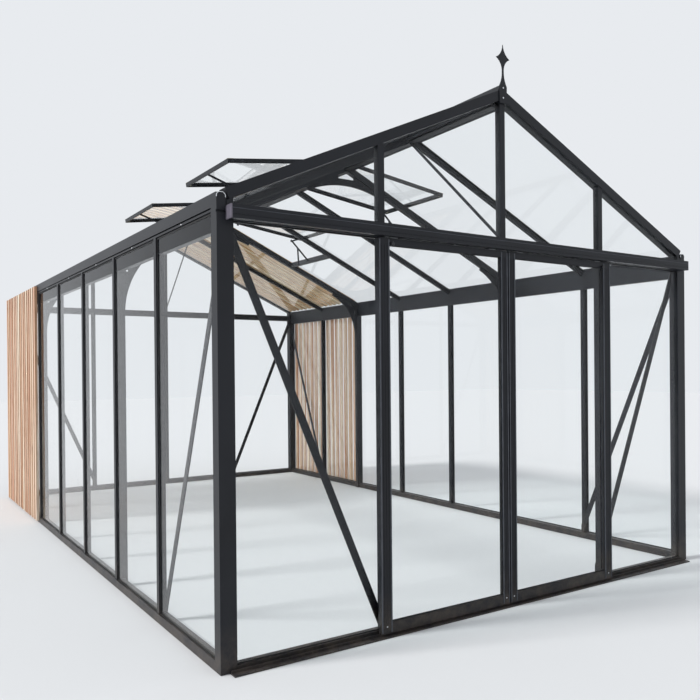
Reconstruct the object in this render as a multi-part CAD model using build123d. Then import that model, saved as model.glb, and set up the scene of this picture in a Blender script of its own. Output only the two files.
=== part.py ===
"""Glass greenhouse with a double sliding door, four roof vents and timber shading slats.

Millimetres, +Z up. X runs across the gable, with the door at -Y. The origin is on the
ground, at the centre of the whole plan box, door track included.
"""

import os
from math import cos, radians, sin, tan

from build123d import *

# Plan
BAY = 740.0
SIDE_BAYS = 7
FRONT_BAYS = 4
GABLE_OFFSET = 37.5
SIDE_OFFSET = 45.0
WIDTH = FRONT_BAYS * BAY + 2 * GABLE_OFFSET
LENGTH = SIDE_BAYS * BAY + 2 * SIDE_OFFSET

# Heights; gutter, beams and doors hang from the height of the roof's edge
BASE_HEIGHT = 42.0
FRONT_SILL_HEIGHT = 26.0
ROOF_EDGE_HEIGHT = 1895.0
ROOF_PITCH = 25.0
GUTTER_DROP = 3.0
GUTTER_HEIGHT = 54.0
TIE_DROP = 55.0
TIE_HEIGHT = 55.0

# Glass and how it sits in the bars
GLASS = 4.0
GLASS_FACE = 12.0
GLASS_GAP = 1.0
GROOVE = 6.0

# Corner posts
POST_X = 70.0
POST_Y = 60.0
POST_CAP_DROP = 16.0
POST_CAP_WIDTH = 38.0
POST_CAP_THICK = 8.0

# Glazing bars of walls, gables and roof
BAR_RECESS = 4.0
BAR_CAP = 34.0
BAR_NECK = 12.0
BAR_BODY = 24.0
BAR_DEPTH = 45.0

# Base rail, eave beam and gutter
BASE_WIDTH = 50.0
EAVE_INNER = 46.0
EAVE_DEPTH = 93.0
EAVE_FLANGE = 14.0
EAVE_SHADOW_GAP = 5.0
EAVE_SHADOW_DEPTH = 6.0
EAVE_LIP = 3.0
EAVE_LIP_DROP = 27.0
GUTTER_WIDTH = 42.0
GUTTER_WALL = 3.0
GUTTER_ROLL = 7.0

# Verge and ridge
VERGE_HEIGHT = 47.0
VERGE_SEAT = 10.0
VERGE_END = 36.0
ROOF_SINK = 30.0
ROOF_CAP = 8.0
ROOF_BAR_DEPTH = 38.0
RIDGE_WING = 75.0
RIDGE_SHOULDER = 6.0
RIDGE_FOOT = 44.0
RIDGE_DEPTH = 76.0
CREST_HEIGHT = 15.0
CREST_WIDTH = 60.0
CREST_TOP_WIDTH = 40.0
GLASS_DRIP = 28.0

# Trusses with their curved gussets
TRUSS_LINES = (2, 5)
TRUSS_WIDTH = 38.0
TRUSS_DEPTH = 46.0
TRUSS_POST_DEPTH = 66.0
GUSSET_THICK = 16.0
GUSSET_TOE = 3.0
GUSSET_END = 22.0
EAVE_ARC_RADIUS = 465.0
RIDGE_ARC_RADIUS = 674.0
RIDGE_TIE_DROP = 135.0
RIDGE_HOLE = 124.0
SLOT_LENGTH = 46.0
SLOT_WIDTH = 16.0
SLOT_EDGE = 16.0
SLOT_FROM_CORNER = 66.0

# Roof vents
VENT_BAYS = (2, 4)
VENT_OPENING = 17.0
VENT_LENGTH = 765.0
VENT_HINGE = 80.0
VENT_FRAME = 26.0
VENT_THICK = 18.0
VENT_SIDE_GAP = 4.0
VENT_LIFT = 3.0
SILL_OVERLAP = 35.0
SILL_LENGTH = 30.0
SILL_DEPTH = 40.0
SILL_SEAT = 10.0
ARM_WIDTH = 14.0
ARM_THICK = 4.0
ARM_PIVOT_DOWN = 592.0
ARM_PIVOT_HEIGHT = 24.0
CYLINDER_RADIUS = 7.0
CYLINDER_START = 0.33
CYLINDER_RUN = 76.0
CYLINDER_DROP = 140.0

# Braces
BRACE_WIDTH = 35.0
BRACE_THICK = 6.0
RIDGE_BRACE_WIDTH = 15.0
RIDGE_BRACE_RISE = 30.0

# Timber slats on the two rear bays
SLAT_BAYS = 2
SLATS_PER_BAY = 8
SLAT_WIDTH = 46.0
SLAT_THICK = 20.0
SLAT_BOTTOM = 15.0
SLAT_TOP_DROP = 11.0
SLAT_EAVE_INSET = 50.0

# Door track and guide
TRACK_DEPTH = 56.0
TRACK_WALL = 4.0
TRACK_SLOT = 14.0
TRACK_GROOVE = 4.0
TRACK_GROOVE_LOW = 15.0
TRACK_GROOVE_HIGH = 40.0
TRACK_SHORT = 38.0
TRACK_END_CAP = 5.0
GUIDE_HEIGHT = 6.0
GUIDE_DEPTH = 50.0
GUIDE_RIB_WIDTH = 4.0
GUIDE_RIB_HEIGHT = 11.0

# Door leaves
LEAF_OVERLAP = 34.0
LEAF_THICK = 25.0
LEAF_FRONT = 30.0
LEAF_MEETING_GAP = 8.0
LEAF_BOTTOM = 12.0
LEAF_TOP_GAP = 5.0
MEETING_STILE = 44.0
OUTER_STILE = 57.0
STILE_GROOVE_WIDTH = 3.0
STILE_GROOVE_DEPTH = 1.5
STILE_GROOVES = 3
LEAF_TOP_RAIL = 32.0
LEAF_BOTTOM_RAIL = 51.0
LEAF_GROOVE = 8.0
WHEEL_RADIUS = 13.0
WHEEL_THICK = 10.0
HANGER_INSET = 90.0
HANGER_WIDTH = 40.0
HANGER_THICK = 4.0
WHEEL_CLEARANCE = 0.3

# Finial
FINIAL_THICK = 5.0
FINIAL_HEIGHT = 226.0
FINIAL_DROP = 74.0
FINIAL_FOOT_HALF = 25.0
FINIAL_FOOT_RISE = 12.0
FINIAL_NECK_HALF = 5.0
FINIAL_NECK = 87.0
DIAMOND_HALF = 45.0
DIAMOND_HEIGHT = 153.0
FOOT_FLARE_HALF = 10.0
FOOT_FLARE_HEIGHT = 46.0
DIAMOND_LOW_HALF = 19.0
DIAMOND_LOW_HEIGHT = 133.0
DIAMOND_HIGH_HALF = 17.0
DIAMOND_HIGH_HEIGHT = 175.0

HALF_X = WIDTH / 2
HALF_Y = LENGTH / 2
PITCH = radians(ROOF_PITCH)
RIDGE_TOP = ROOF_EDGE_HEIGHT + HALF_X * tan(PITCH)
GLASS_BACK = GLASS_FACE + GLASS
CAP_TOP = -ROOF_SINK
CAP_BOTTOM = CAP_TOP - ROOF_CAP
UNDER_GLASS = CAP_BOTTOM - GLASS
GUTTER_TOP = ROOF_EDGE_HEIGHT - GUTTER_DROP
GUTTER_BOTTOM = GUTTER_TOP - GUTTER_HEIGHT
EAVE_LIP_TOP = GUTTER_TOP - EAVE_LIP_DROP
EAVE_BOTTOM = GUTTER_BOTTOM - EAVE_DEPTH
EAVE_FLANGE_BOTTOM = GUTTER_BOTTOM - EAVE_FLANGE
TIE_TOP = ROOF_EDGE_HEIGHT - TIE_DROP
TIE_BOTTOM = TIE_TOP - TIE_HEIGHT
SLAT_TOP = GUTTER_TOP - SLAT_TOP_DROP
SILL_START = VENT_HINGE + VENT_LENGTH - SILL_OVERLAP
LEAF_WIDTH = BAY + LEAF_OVERLAP


def prism_up(points, bottom, top):
    """Outline in x and y, extruded upwards."""
    return extrude(Plane.XY.offset(bottom) * make_face(Polyline(*points, close=True)), top - bottom)


def prism_x(points, start, end):
    """Outline in y and z, extruded along x."""
    return extrude(Plane.YZ.offset(start) * make_face(Polyline(*points, close=True)), end - start)


def prism_y(points, start, end):
    """Outline in x and z, extruded along y."""
    return extrude(Plane.XZ.offset(-end) * make_face(Polyline(*points, close=True)), end - start)


def slope_plane(y, down=0.0):
    """Plane across the right-hand slope: local x is y, local y is the outward normal."""
    origin = (down * cos(PITCH), y, RIDGE_TOP - down * sin(PITCH))
    return Plane(origin=origin, x_dir=(0, 1, 0), z_dir=(cos(PITCH), 0, -sin(PITCH)))


def prism_slope(points, y, start, end):
    """Outline in y and height over the roof, extruded down the right-hand slope."""
    return extrude(slope_plane(y, start) * make_face(Polyline(*points, close=True)), end - start)


def on_slope(down, height):
    """The x and z of a point given down the right-hand slope and above its surface."""
    return (
        down * cos(PITCH) + height * sin(PITCH),
        RIDGE_TOP - down * sin(PITCH) + height * cos(PITCH),
    )


def down_at(inset):
    """Distance down the slope to the vertical plane that lies inset from the side face."""
    return (HALF_X - inset) / cos(PITCH)


def line_y(n):
    """Y of the side bay line n, counted from the door end."""
    return -HALF_Y + SIDE_OFFSET + n * BAY


def line_x(k):
    """X of the gable bay line k, counted from the left."""
    return -HALF_X + GABLE_OFFSET + k * BAY


def rafter_width(n):
    """Width of the rafter's body at a bay line; the trusses are wider."""
    return TRUSS_WIDTH if n in TRUSS_LINES else BAR_BODY


def block(low, high):
    """Box between two opposite corners."""
    size = [b - a for a, b in zip(low, high)]
    return Pos(*low) * Box(*size, align=(Align.MIN, Align.MIN, Align.MIN))


def right_to_left(shape):
    return mirror(shape, about=Plane.YZ)


def front_to_rear(shape):
    return mirror(shape, about=Plane.XZ)


def both_sides(shapes):
    return [*shapes, *(right_to_left(shape) for shape in shapes)]


def group(shapes):
    """Solids that share a node."""
    return Compound(children=[solid for shape in shapes for solid in shape.solids()])


def rectangle(x0, y0, x1, y1):
    return [(x0, y0), (x1, y0), (x1, y1), (x0, y1)]


def bar_outline(side, front, depth=BAR_DEPTH, body=BAR_BODY):
    """Half-lap glazing bar: outer cap, neck between the panes, body behind them.

    The first value runs along the wall, the second inwards from the outer face.
    """
    cap = [(-BAR_CAP / 2, front), (BAR_CAP / 2, front), (BAR_CAP / 2, GLASS_FACE)]
    neck = [(BAR_NECK / 2, GLASS_FACE), (BAR_NECK / 2, GLASS_BACK), (body / 2, GLASS_BACK)]
    half = cap[1:] + neck + [(body / 2, depth)]
    mirrored = [(-across, inward) for across, inward in reversed(half)]
    return [(side + across, inward) for across, inward in half + mirrored]


# Side walls, drawn on the right-hand side


def side_bar(n, body=BAR_BODY):
    """Upright glazing bar: its body stops under the eave beam, its cap under the flange."""
    outline = bar_outline(line_y(n), BAR_RECESS, BAR_DEPTH, body)
    points = [(HALF_X - inward, along) for along, inward in outline]
    bar = prism_up(points, BASE_HEIGHT, EAVE_FLANGE_BOTTOM)
    return bar - eave_beam()


def base_outline(height):
    """Base rail section: inward distance and height, with a groove for the glass."""
    return [
        (0, 0),
        (BASE_WIDTH, 0),
        (BASE_WIDTH, height),
        (GLASS_BACK, height),
        (GLASS_BACK, height - GROOVE),
        (GLASS_FACE, height - GROOVE),
        (GLASS_FACE, height),
        (0, height),
    ]


def side_base():
    points = [(HALF_X - inward, z) for inward, z in base_outline(BASE_HEIGHT)]
    return prism_y(points, -HALF_Y + POST_Y, HALF_Y - POST_Y)


def eave_beam():
    """Beam under the roof edge: outer flange over the glass, inner lip for the rafters."""
    section = [
        (BAR_RECESS + EAVE_SHADOW_DEPTH, GUTTER_BOTTOM),
        (BAR_RECESS + EAVE_SHADOW_DEPTH, GUTTER_BOTTOM - EAVE_SHADOW_GAP),
        (BAR_RECESS, GUTTER_BOTTOM - EAVE_SHADOW_GAP),
        (BAR_RECESS, EAVE_FLANGE_BOTTOM),
        (GLASS_FACE, EAVE_FLANGE_BOTTOM),
        (GLASS_FACE, EAVE_FLANGE_BOTTOM + GROOVE),
        (GLASS_BACK, EAVE_FLANGE_BOTTOM + GROOVE),
        (GLASS_BACK, EAVE_BOTTOM),
        (EAVE_INNER, EAVE_BOTTOM),
        (EAVE_INNER, EAVE_LIP_TOP),
        (EAVE_INNER - EAVE_LIP, EAVE_LIP_TOP),
        (EAVE_INNER - EAVE_LIP, GUTTER_BOTTOM),
    ]
    points = [(HALF_X - inward, z) for inward, z in section]
    return prism_y(points, -HALF_Y + POST_Y, HALF_Y - POST_Y)


def gutter():
    """Open box gutter on the eave beam, with a rolled outer lip."""
    section = [
        (0, GUTTER_BOTTOM),
        (GUTTER_WIDTH, GUTTER_BOTTOM),
        (GUTTER_WIDTH, EAVE_LIP_TOP),
        (GUTTER_WIDTH - GUTTER_WALL, EAVE_LIP_TOP),
        (GUTTER_WIDTH - GUTTER_WALL, GUTTER_BOTTOM + GUTTER_WALL),
        (GUTTER_WALL, GUTTER_BOTTOM + GUTTER_WALL),
        (GUTTER_WALL, GUTTER_TOP - GUTTER_WALL),
        (GUTTER_ROLL, GUTTER_TOP - GUTTER_WALL),
        (GUTTER_ROLL, GUTTER_TOP),
        (0, GUTTER_TOP),
    ]
    points = [(HALF_X - inward, z) for inward, z in section]
    return prism_y(points, -HALF_Y + POST_CAP_THICK, HALF_Y - POST_CAP_THICK)


def gutter_end():
    """End cap over the front end of a gutter, let into the post, with a round shoulder."""
    bottom = GUTTER_BOTTOM - POST_CAP_DROP
    height = GUTTER_TOP - bottom
    plate = Pos(HALF_X - POST_CAP_WIDTH / 2, -HALF_Y + POST_CAP_THICK / 2, bottom + height / 2)
    block = plate * Box(POST_CAP_WIDTH, POST_CAP_THICK, height)
    top_edges = block.edges().filter_by(Axis.Y).sort_by(Axis.Z)[-2:]
    return fillet(top_edges, POST_CAP_WIDTH / 4)


def corner_post():
    """Front right post: a stub at its inner side runs on to the verge."""
    inner_top = under_verge(POST_X)
    outer_top = under_verge(GUTTER_WIDTH)
    points = [
        (HALF_X, 0),
        (HALF_X - POST_X, 0),
        (HALF_X - POST_X, inner_top),
        (HALF_X - GUTTER_WIDTH, outer_top),
        (HALF_X - GUTTER_WIDTH, GUTTER_BOTTOM),
        (HALF_X, GUTTER_BOTTOM),
    ]
    post = prism_y(points, -HALF_Y, -HALF_Y + POST_Y)
    return post - gutter_end() - Pos(0, 0, -POST_CAP_WIDTH / 4) * gutter_end()


def under_verge(inset):
    """Height of the verge's underside at a distance in from the side face."""
    return ROOF_EDGE_HEIGHT + inset * tan(PITCH) - VERGE_HEIGHT / cos(PITCH)


def side_pane(n):
    """Pane between the bay lines n and n + 1, in the grooves of the bars around it."""
    edge = BAR_NECK / 2 + GLASS_GAP
    start = line_y(n) + edge if n > 0 else -HALF_Y + POST_Y
    end = line_y(n + 1) - edge if n < SIDE_BAYS - 1 else HALF_Y - POST_Y
    bottom = BASE_HEIGHT - GROOVE
    top = EAVE_FLANGE_BOTTOM + GROOVE - GLASS_GAP
    points = rectangle(HALF_X - GLASS_BACK, start, HALF_X - GLASS_FACE, end)
    return prism_up(points, bottom, top)


# Gables, drawn at the front


def gable_base(height):
    points = [(-HALF_Y + inward, z) for inward, z in base_outline(height)]
    return prism_x(points, -HALF_X + POST_X, HALF_X - POST_X)


def gable_bar(k, bottom, top):
    outline = bar_outline(line_x(k), BAR_RECESS)
    points = [(along, -HALF_Y + inward) for along, inward in outline]
    return prism_up(points, bottom, top)


def tie_beam():
    """Beam at eave height, with a groove for the panes below and above it."""
    section = [
        (0, TIE_BOTTOM),
        (GLASS_FACE, TIE_BOTTOM),
        (GLASS_FACE, TIE_BOTTOM + GROOVE),
        (GLASS_BACK, TIE_BOTTOM + GROOVE),
        (GLASS_BACK, TIE_BOTTOM),
        (BAR_DEPTH, TIE_BOTTOM),
        (BAR_DEPTH, TIE_TOP),
        (GLASS_BACK, TIE_TOP),
        (GLASS_BACK, TIE_TOP - GROOVE),
        (GLASS_FACE, TIE_TOP - GROOVE),
        (GLASS_FACE, TIE_TOP),
        (0, TIE_TOP),
    ]
    points = [(-HALF_Y + inward, z) for inward, z in section]
    return prism_x(points, -HALF_X + POST_X, HALF_X - POST_X)


def gable_pane(k, bottom, top):
    edge = BAR_NECK / 2 + GLASS_GAP
    start = line_x(k) + edge if k > 0 else -HALF_X + POST_X
    end = line_x(k + 1) - edge if k < FRONT_BAYS - 1 else HALF_X - POST_X
    points = rectangle(start, -HALF_Y + GLASS_FACE, end, -HALF_Y + GLASS_BACK)
    return prism_up(points, bottom, top)


def verge_half():
    """Right half of the verge: the gable rafter with grooves for roof and gable glass."""
    section = [
        (0, 0),
        (POST_Y, 0),
        (POST_Y, CAP_BOTTOM),
        (POST_Y - VERGE_SEAT, CAP_BOTTOM),
        (POST_Y - VERGE_SEAT, UNDER_GLASS),
        (POST_Y, UNDER_GLASS),
        (POST_Y, -VERGE_HEIGHT),
        (GLASS_BACK, -VERGE_HEIGHT),
        (GLASS_BACK, -VERGE_HEIGHT + GROOVE),
        (GLASS_FACE, -VERGE_HEIGHT + GROOVE),
        (GLASS_FACE, -VERGE_HEIGHT),
        (0, -VERGE_HEIGHT),
    ]
    rafter = prism_slope(section, -HALF_Y, -VERGE_HEIGHT, down_at(VERGE_END))
    return rafter & Pos(HALF_X / 2, -HALF_Y + POST_Y / 2, RIDGE_TOP / 2) * Box(
        HALF_X, POST_Y, 2 * RIDGE_TOP
    )


def verge():
    half = verge_half()
    return half + right_to_left(half)


def gable_cut():
    """All that lies above the bottom of the verge's glass groove, to trim the panes."""
    drop = (VERGE_HEIGHT - GROOVE + GLASS_GAP) / cos(PITCH)
    foot = ROOF_EDGE_HEIGHT - drop
    points = [(HALF_X, foot), (0, RIDGE_TOP - drop), (-HALF_X, foot), (-HALF_X, 2 * RIDGE_TOP)]
    return prism_y([*points, (HALF_X, 2 * RIDGE_TOP)], -HALF_Y, -HALF_Y + POST_Y)


def gable_top_panes():
    """The four panes between the tie beam and the verge."""
    cut = gable_cut()
    bottom = TIE_TOP - GROOVE
    return [gable_pane(k, bottom, RIDGE_TOP) - cut for k in range(FRONT_BAYS)]


def gable_top_bars():
    """The three bars above the tie beam, cut to the underside of the verge."""
    drop = VERGE_HEIGHT / cos(PITCH)
    points = [
        (HALF_X, ROOF_EDGE_HEIGHT - drop),
        (0, RIDGE_TOP - drop),
        (-HALF_X, ROOF_EDGE_HEIGHT - drop),
        (-HALF_X, 2 * RIDGE_TOP),
        (HALF_X, 2 * RIDGE_TOP),
    ]
    cut = prism_y(points, -HALF_Y, -HALF_Y + POST_Y)
    return [gable_bar(k, TIE_TOP, RIDGE_TOP) - cut for k in range(1, FRONT_BAYS)]


# Roof, drawn on the right-hand slope


def ridge():
    """Ridge beam: crest, two deep wings that hold the glass, shoulders under it and a foot."""
    shoulder = UNDER_GLASS - RIDGE_SHOULDER
    seat = RIDGE_WING - VERGE_SEAT
    foot = RIDGE_FOOT / 2
    half = [
        on_slope(RIDGE_WING, 0),
        on_slope(RIDGE_WING, CAP_BOTTOM),
        on_slope(seat, CAP_BOTTOM),
        on_slope(seat, UNDER_GLASS),
        on_slope(RIDGE_WING, UNDER_GLASS),
        on_slope(RIDGE_WING, shoulder),
        (foot, RIDGE_TOP - foot * tan(PITCH) + shoulder / cos(PITCH)),
        (foot, RIDGE_TOP - RIDGE_DEPTH),
    ]
    mirrored = [(-x, z) for x, z in reversed(half)]
    beam = prism_y([(0, RIDGE_TOP), *half, *mirrored], -HALF_Y + POST_Y, HALF_Y - POST_Y)
    return beam + crest()


def crest():
    """Raised strip along the top of the ridge, from gable to gable."""
    edge = RIDGE_TOP - CREST_WIDTH / 2 * tan(PITCH)
    top = RIDGE_TOP + CREST_HEIGHT
    points = [
        (0, RIDGE_TOP),
        (CREST_WIDTH / 2, edge),
        (CREST_TOP_WIDTH / 2, top),
        (-CREST_TOP_WIDTH / 2, top),
        (-CREST_WIDTH / 2, edge),
    ]
    return prism_y(points, -HALF_Y, HALF_Y)


def glass_end():
    """Distance down the slope to the end of the roof's glass and caps, over the gutter."""
    return down_at(GLASS_DRIP) + ROOF_SINK * tan(PITCH)


def rafter(n, depth, body):
    """Glazing bar of the roof, from the ridge to the face of the eave beam."""
    cap = [
        (-BAR_CAP / 2, CAP_TOP),
        (BAR_CAP / 2, CAP_TOP),
        (BAR_CAP / 2, CAP_BOTTOM),
        (BAR_NECK / 2, CAP_BOTTOM),
        (BAR_NECK / 2, UNDER_GLASS),
        (-BAR_NECK / 2, UNDER_GLASS),
        (-BAR_NECK / 2, CAP_BOTTOM),
        (-BAR_CAP / 2, CAP_BOTTOM),
    ]
    underside = CAP_TOP - depth
    body_points = rectangle(-body / 2, underside, body / 2, UNDER_GLASS)
    top = prism_slope(cap, line_y(n), RIDGE_WING, glass_end())
    low = prism_slope(body_points, line_y(n), underside, glass_end())
    low &= block((0, -HALF_Y, 0), (HALF_X - EAVE_INNER, HALF_Y, 2 * RIDGE_TOP))
    return top + low - ridge()


def roof_pane(n, start):
    """Pane down the slope between the bay lines n and n + 1."""
    edge = BAR_NECK / 2 + GLASS_GAP
    low = line_y(n) + edge if n > 0 else -HALF_Y + POST_Y - VERGE_SEAT + GLASS_GAP
    high = line_y(n + 1) - edge if n < SIDE_BAYS - 1 else HALF_Y - POST_Y + VERGE_SEAT - GLASS_GAP
    points = rectangle(low, UNDER_GLASS, high, CAP_BOTTOM)
    return prism_slope(points, 0, start, glass_end())


def roof_panes():
    """One pane a bay; a vent bay has its pane below the vent's sill."""
    seat = RIDGE_WING - VERGE_SEAT + GLASS_GAP
    below_sill = SILL_START + SILL_LENGTH - SILL_SEAT + GLASS_GAP
    return [roof_pane(n, below_sill if n in VENT_BAYS else seat) for n in range(SIDE_BAYS)]


def vent_sill(n):
    """Cross bar between two rafters that the vent would close on."""
    low = SILL_START + SILL_LENGTH
    section = [
        (SILL_START, CAP_TOP - SILL_DEPTH),
        (low, CAP_TOP - SILL_DEPTH),
        (low, UNDER_GLASS),
        (low - SILL_SEAT, UNDER_GLASS),
        (low - SILL_SEAT, CAP_BOTTOM),
        (low, CAP_BOTTOM),
        (low, CAP_TOP),
        (SILL_START, CAP_TOP),
    ]
    points = [on_slope(down, height) for down, height in section]
    start = line_y(n) + rafter_width(n) / 2
    end = line_y(n + 1) - rafter_width(n + 1) / 2
    sill = prism_y(points, start, end)
    x, z = on_slope(SILL_START + SILL_LENGTH / 2, CAP_TOP)
    cap_room = Rot(0, ROOF_PITCH, 0) * Box(3 * SILL_LENGTH, BAR_CAP, 2 * (ROOF_CAP + GLASS))
    for k in (n, n + 1):
        sill -= Pos(x, line_y(k), z) * cap_room
    return sill


def vent_plane():
    """Plane of the open vent: local x runs from the hinge outwards, local z upwards."""
    x, z = on_slope(VENT_HINGE, VENT_LIFT)
    angle = radians(ROOF_PITCH - VENT_OPENING)
    return Plane(origin=(x, 0, z), x_dir=(cos(angle), 0, -sin(angle)), z_dir=(sin(angle), 0, cos(angle)))


def vent_frame(n):
    """Open frame of four bars with a groove for its glass."""
    width = BAY - 2 * VENT_SIDE_GAP
    middle = line_y(n) + BAY / 2
    outer = Pos(VENT_LENGTH / 2, middle, VENT_THICK / 2) * Box(VENT_LENGTH, width, VENT_THICK)
    inner_length = VENT_LENGTH - 2 * VENT_FRAME
    inner_width = width - 2 * VENT_FRAME
    hole = Pos(VENT_LENGTH / 2, middle, VENT_THICK / 2) * Box(inner_length, inner_width, VENT_THICK)
    groove = Pos(VENT_LENGTH / 2, middle, VENT_THICK / 2) * Box(
        inner_length + 2 * GROOVE, inner_width + 2 * GROOVE, GLASS
    )
    return vent_plane() * (outer - hole - groove)


def vent_pane(n):
    length = VENT_LENGTH - 2 * VENT_FRAME + 2 * GROOVE - 2 * GLASS_GAP
    width = BAY - 2 * VENT_SIDE_GAP - 2 * VENT_FRAME + 2 * GROOVE - 2 * GLASS_GAP
    centre = Pos(VENT_LENGTH / 2, line_y(n) + BAY / 2, VENT_THICK / 2)
    return vent_plane() * (centre * Box(length, width, GLASS))


def strut(start, end, width, thick, flat):
    """Flat bar through two points; flat is the direction across its thickness.

    It runs on past both points by its own width, for its ends to be trimmed.
    """
    line = Vector(*end) - Vector(*start)
    plane = Plane(origin=start, x_dir=Vector(*flat), z_dir=line)
    bar = Rectangle(thick, width)
    return extrude(plane.offset(-width) * bar, line.length + 2 * width)


def vent_arms(n):
    """Opener under the vent: an arm to its free bar, a lever to the sill, a hanging cylinder."""
    middle = line_y(n) + BAY / 2
    free_x, free_z = vent_edge()
    pivot_x, pivot_z = on_slope(ARM_PIVOT_DOWN, ARM_PIVOT_HEIGHT)
    sill_x, sill_z = on_slope(SILL_START + SILL_LENGTH / 2, CAP_TOP + ARM_WIDTH / 2 - SILL_DEPTH)
    pivot = (pivot_x, middle, pivot_z)
    arm = strut(pivot, (free_x, middle, free_z), ARM_WIDTH, ARM_THICK, (0, 1, 0))
    lever = strut(pivot, (sill_x, middle, sill_z), ARM_WIDTH, ARM_THICK, (0, 1, 0))
    lever &= prism_slope(rectangle(-BAY / 2, -BAY / 2, BAY / 2, BAY / 2), middle, 0, SILL_START)
    hung = Vector(*pivot) + (Vector(sill_x, middle, sill_z) - Vector(*pivot)) * CYLINDER_START
    run = Vector(cos(PITCH), 0, -sin(PITCH)) * CYLINDER_RUN
    drop = Vector(sin(PITCH), 0, cos(PITCH)) * -CYLINDER_DROP
    line = run + drop
    cylinder = extrude(Plane(origin=hung, z_dir=line) * Circle(CYLINDER_RADIUS), line.length)
    return arm + lever + cylinder - vent_above()


def vent_edge():
    """X and z of the middle of the underside of the vent's free bar."""
    spot = vent_plane() * Pos(VENT_LENGTH - VENT_FRAME / 2, 0, 0)
    return spot.position.X, spot.position.Z


def vent_above():
    """All that lies above the underside of the open vent."""
    return vent_plane() * block((0, -LENGTH, 0), (2 * VENT_LENGTH, LENGTH, VENT_LENGTH))


# Trusses and braces


def truss_underside(inset):
    """Height of the underside of a truss rafter at a distance in from the side face."""
    return ROOF_EDGE_HEIGHT + inset * tan(PITCH) - (ROOF_SINK + TRUSS_DEPTH) / cos(PITCH)


def truss_post(n):
    """Upright of a truss: a glazing bar outside, a box bar inside up to the rafter."""
    points = [
        (HALF_X - TRUSS_POST_DEPTH, 0),
        (HALF_X - TRUSS_POST_DEPTH, truss_underside(TRUSS_POST_DEPTH)),
        (HALF_X - EAVE_INNER, truss_underside(EAVE_INNER)),
        (HALF_X - EAVE_INNER, BASE_HEIGHT),
        (HALF_X - BASE_WIDTH, BASE_HEIGHT),
        (HALF_X - BASE_WIDTH, 0),
    ]
    middle = line_y(n)
    inner = prism_y(points, middle - TRUSS_WIDTH / 2, middle + TRUSS_WIDTH / 2)
    web = block(
        (HALF_X - EAVE_INNER, middle - TRUSS_WIDTH / 2, BASE_HEIGHT),
        (HALF_X - GLASS_BACK, middle + TRUSS_WIDTH / 2, EAVE_BOTTOM),
    )
    return side_bar(n, TRUSS_WIDTH) + web + inner


def plate_y(outline, n):
    """Plate across the building at a bay line, from an outline in x and z."""
    face = make_face(outline)
    return extrude(Plane.XZ.offset(-line_y(n) - GUSSET_THICK / 2) * face, GUSSET_THICK)


def eave_gusset(n):
    """Curved plate between the truss post and the rafter, rounded to both, with two slots."""
    corner = (TRUSS_POST_DEPTH, truss_underside(TRUSS_POST_DEPTH))
    inset = TRUSS_POST_DEPTH + GUSSET_TOE
    height = truss_underside(inset) - GUSSET_END / cos(PITCH)
    half_angle = (radians(90) + PITCH) / 2
    run = EAVE_ARC_RADIUS / tan(half_angle)
    low = (inset, height - run)
    high = (inset + run * cos(PITCH), height + run * sin(PITCH))
    bisector = radians(90) - half_angle
    middle = (
        inset + EAVE_ARC_RADIUS * (1 - cos(bisector)),
        height - run + EAVE_ARC_RADIUS * sin(bisector),
    )
    top = (high[0] - GUSSET_END * sin(PITCH), high[1] + GUSSET_END * cos(PITCH))
    foot = (TRUSS_POST_DEPTH, low[1])
    arc_points = [(HALF_X - x, z) for x, z in (low, middle, high)]
    rest = [(HALF_X - x, z) for x, z in (high, top, corner, foot, low)]
    plate = plate_y(ThreePointArc(*arc_points) + Polyline(*rest), n)
    slot = extrude(SlotOverall(SLOT_LENGTH, SLOT_WIDTH), GUSSET_THICK, both=True)
    beside_post = (corner[0] + SLOT_EDGE, corner[1] - SLOT_FROM_CORNER)
    under_rafter = (
        corner[0] + SLOT_FROM_CORNER,
        truss_underside(corner[0] + SLOT_FROM_CORNER) - SLOT_EDGE,
    )
    for (x, z), turn in ((beside_post, 90), (under_rafter, -ROOF_PITCH)):
        plate -= Pos(HALF_X - x, line_y(n), z) * Rot(90, 0, 0) * Rot(0, 0, turn) * slot
    return plate


def ridge_gusset(n):
    """Arched plate under the ridge, rounded to both rafters, open above its straight tie."""
    reach = RIDGE_ARC_RADIUS * sin(PITCH)
    toe_z = truss_underside(HALF_X - reach) - GUSSET_END / cos(PITCH)
    crown = toe_z + RIDGE_ARC_RADIUS * (1 - cos(PITCH))
    end = (reach + GUSSET_END * sin(PITCH), toe_z + GUSSET_END * cos(PITCH))
    tie_z = RIDGE_TOP - RIDGE_TIE_DROP
    hole = RIDGE_HOLE / 2
    hole_top = truss_underside(HALF_X - hole)
    outline = ThreePointArc((-reach, toe_z), (0, crown), (reach, toe_z))
    outline += Polyline(
        (reach, toe_z),
        end,
        (hole, hole_top),
        (hole, tie_z),
        (-hole, tie_z),
        (-hole, hole_top),
        (-end[0], end[1]),
        (-reach, toe_z),
    )
    return plate_y(outline, n)


def side_brace():
    """Flat bar from the top of the corner post to the foot of the first side bar."""
    face = HALF_X - BAR_DEPTH
    x = face - BRACE_THICK / 2
    top = (x, -HALF_Y + POST_Y, EAVE_BOTTOM - BRACE_WIDTH)
    foot = (x, line_y(1), BASE_HEIGHT + BRACE_WIDTH)
    bar = strut(top, foot, BRACE_WIDTH, BRACE_THICK, (1, 0, 0))
    low = (face - BRACE_THICK, -HALF_Y + POST_Y, BASE_HEIGHT)
    return bar & block(low, (face, line_y(1) + BAR_BODY / 2, EAVE_BOTTOM))


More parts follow.
